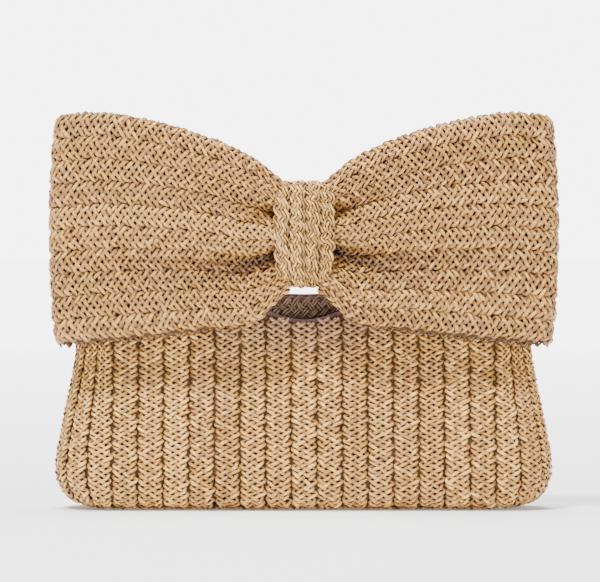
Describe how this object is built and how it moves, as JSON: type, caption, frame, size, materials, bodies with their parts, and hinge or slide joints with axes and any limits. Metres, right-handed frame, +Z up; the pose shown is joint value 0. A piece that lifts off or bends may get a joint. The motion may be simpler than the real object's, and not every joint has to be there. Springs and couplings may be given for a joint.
{
  "type": "clutch purse",
  "caption": "Open-top straw clutch purse of sewn braid with a large bow on its front, a lining and a magnetic snap; its back wall leans back to open the mouth.",
  "frame": {"origin": "middle of the flat base, on the surface it stands on", "axes": "+Z up, +X to the right as seen from the front, front with the bow faces -Y"},
  "size_m": [0.3004, 0.067, 0.234],
  "materials": {
    "straw": "satin",
    "lining": "satin",
    "interlining": "matte",
    "board": "matte",
    "snap_metal": "satin",
    "thread": "matte"
  },
  "bodies": {
    "front_body": {"front_panel": "straw", "side_gusset_left": "straw", "side_gusset_right": "straw", "base_panel": "straw", "front_interlining": "interlining", "base_board": "board", "front_lining": "lining", "side_lining_left": "lining", "side_lining_right": "lining", "base_lining": "lining", "front_rim_braid": "straw", "snap_socket": "snap_metal", "snap_socket_washer": "snap_metal", "bow_left_front": "straw", "bow_left_back": "straw", "bow_right_front": "straw", "bow_right_back": "straw", "bow_waist": "straw", "knot_band": "straw", "bow_tacks": "thread"},
    "back_body": {"back_panel": "straw", "back_interlining": "interlining", "back_lining": "lining", "slip_pocket": "lining", "back_rim_braid": "straw", "snap_stud": "snap_metal", "snap_stud_washer": "snap_metal"}
  },
  "joints": [
    {"name": "mouth_opening", "type": "hinge", "parent": "front_body", "child": "back_body", "pos_m": [0, 0.0263, 0.008], "axis": [-1, 0, 0], "range_deg": [0, 18], "stiffness_Nm_per_rad": 0.06}
  ]
}
